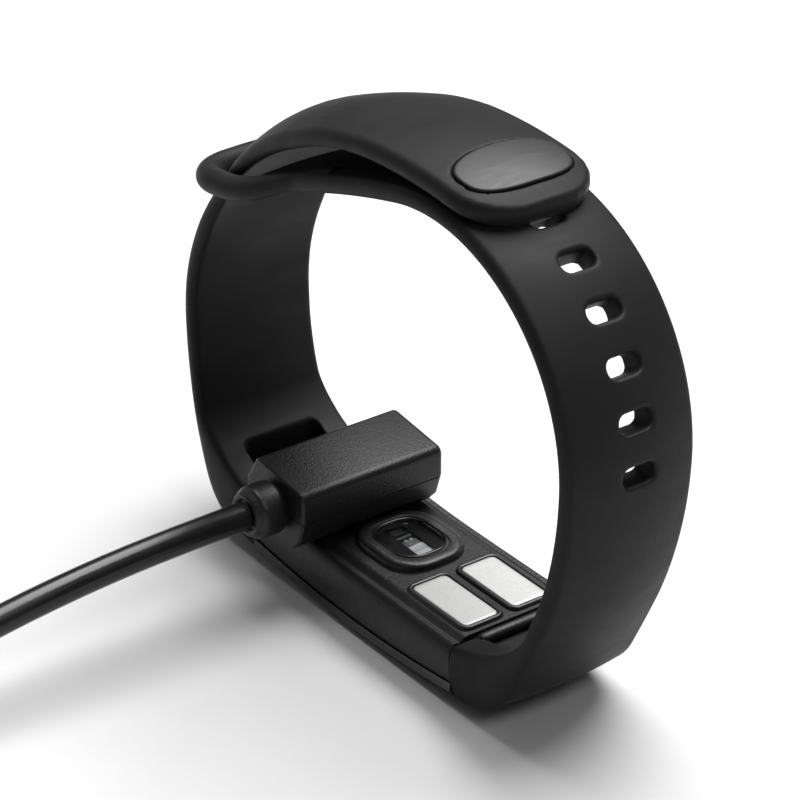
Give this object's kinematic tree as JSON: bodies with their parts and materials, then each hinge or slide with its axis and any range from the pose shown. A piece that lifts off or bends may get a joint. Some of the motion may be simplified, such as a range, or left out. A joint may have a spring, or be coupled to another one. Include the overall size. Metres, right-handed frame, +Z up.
{
  "type": "fitness tracker band",
  "caption": "Closed silicone wristband with a slotted strap, loop and peg clasp, a curved sensor pod and a clip-on magnetic charger on a short cable.",
  "frame": {"origin": "middle of the flat the display glass rests on", "axes": "+X from the peg strap's end of the pod to the hole strap's end, +Y across the strap away from the cable, +Z up through the band"},
  "size_m": [0.0829, 0.1188, 0.0616],
  "materials": {
    "cover_glass": "polished dark cover glass",
    "bezel_gloss": "gloss black",
    "gasket": "matte black",
    "housing_plastic": "fine satin grain, black",
    "gold_plate": "gold plated",
    "display_panel": "black, unlit",
    "circuit_board": "solder mask green",
    "battery_foil": "foil pouch",
    "motor_steel": "drawn steel can",
    "rotor_metal": "sintered heavy alloy",
    "sensor_bezel": "satin black",
    "sensor_glass": "clear smoky window",
    "sensor_chip": "dark silicon under clear resin",
    "led_lens": "pale yellow-green resin",
    "light_baffle": "dead matte black",
    "electrode_seal": "matte black",
    "electrode_steel": "satin stainless",
    "silicone": "matte black silicone",
    "core_plastic": "stiff moulded core",
    "clasp_plate": "black anodised, satin",
    "clasp_peg": "dark plated steel",
    "charger_plastic": "coarse spark texture, black",
    "magnet": "nickel plated",
    "relief_rubber": "matte black",
    "cable_jacket": "semi-gloss black",
    "tie_strip": "black strip",
    "usb_grip": "fine texture, black",
    "usb_steel": "plated steel",
    "usb_tongue": "black insulator"
  },
  "bodies": {
    "tracker": {"display_lens": "cover_glass", "front_bezel": "bezel_gloss", "housing_gasket": "gasket", "rear_housing": "housing_plastic", "charging_contacts": "gold_plate", "display_panel": "display_panel", "main_board": "circuit_board", "battery": "battery_foil", "motor_case": "motor_steel", "sensor_ring": "sensor_bezel", "sensor_window": "sensor_glass", "sensor_board": "circuit_board", "photodiode": "sensor_chip", "sensor_leds": "led_lens", "light_baffle": "light_baffle", "electrode_frame_front": "electrode_seal", "electrode_frame_rear": "electrode_seal", "electrode_front": "electrode_steel", "electrode_rear": "electrode_steel", "hole_strap": "silicone", "strap_insert_holes": "core_plastic", "peg_strap": "silicone", "strap_insert_peg": "core_plastic", "cable_tube": "cable_jacket", "cable_tail": "cable_jacket", "cable_coil": "cable_jacket", "cable_tie": "tie_strip", "usb_overmold": "usb_grip", "usb_shell": "usb_steel", "usb_tongue": "usb_tongue"},
    "clasp_tab": {"strap_tab": "silicone", "peg_cap": "clasp_plate", "peg_stud": "clasp_peg"},
    "charger": {"charger_upper_shell": "charger_plastic", "charger_lower_shell": "charger_plastic", "charger_board": "circuit_board", "charger_magnets": "magnet", "pogo_barrels": "gold_plate", "strain_relief": "relief_rubber"},
    "pin_1": {"pogo_pin_1": "gold_plate"},
    "pin_2": {"pogo_pin_2": "gold_plate"},
    "motor_weight": {"motor_rotor": "rotor_metal"}
  },
  "joints": [
    {"name": "clasp_lift", "type": "hinge", "parent": "tracker", "child": "clasp_tab", "pos_m": [-0.00582, 0, 0.05836], "axis": [0, -1, 0], "range_deg": [0, 40]},
    {"name": "charger_lift", "type": "slide", "parent": "tracker", "child": "charger", "axis": [0.0741, 0, 0.9972], "range_m": [0, 0.01]},
    {"name": "pin_1_press", "type": "slide", "parent": "charger", "child": "pin_1", "axis": [0.0741, 0, 0.9972], "range_m": [0, 0.0006], "stiffness_N_per_m": 300, "springref_m": -0.0005},
    {"name": "pin_2_press", "type": "slide", "parent": "charger", "child": "pin_2", "axis": [0.0741, 0, 0.9972], "range_m": [0, 0.0006], "stiffness_N_per_m": 300, "springref_m": -0.0005},
    {"name": "motor_spin", "type": "hinge", "parent": "tracker", "child": "motor_weight", "pos_m": [0.0115, 0, 0.0052], "axis": [0, 0, 1], "continuous": true}
  ]
}
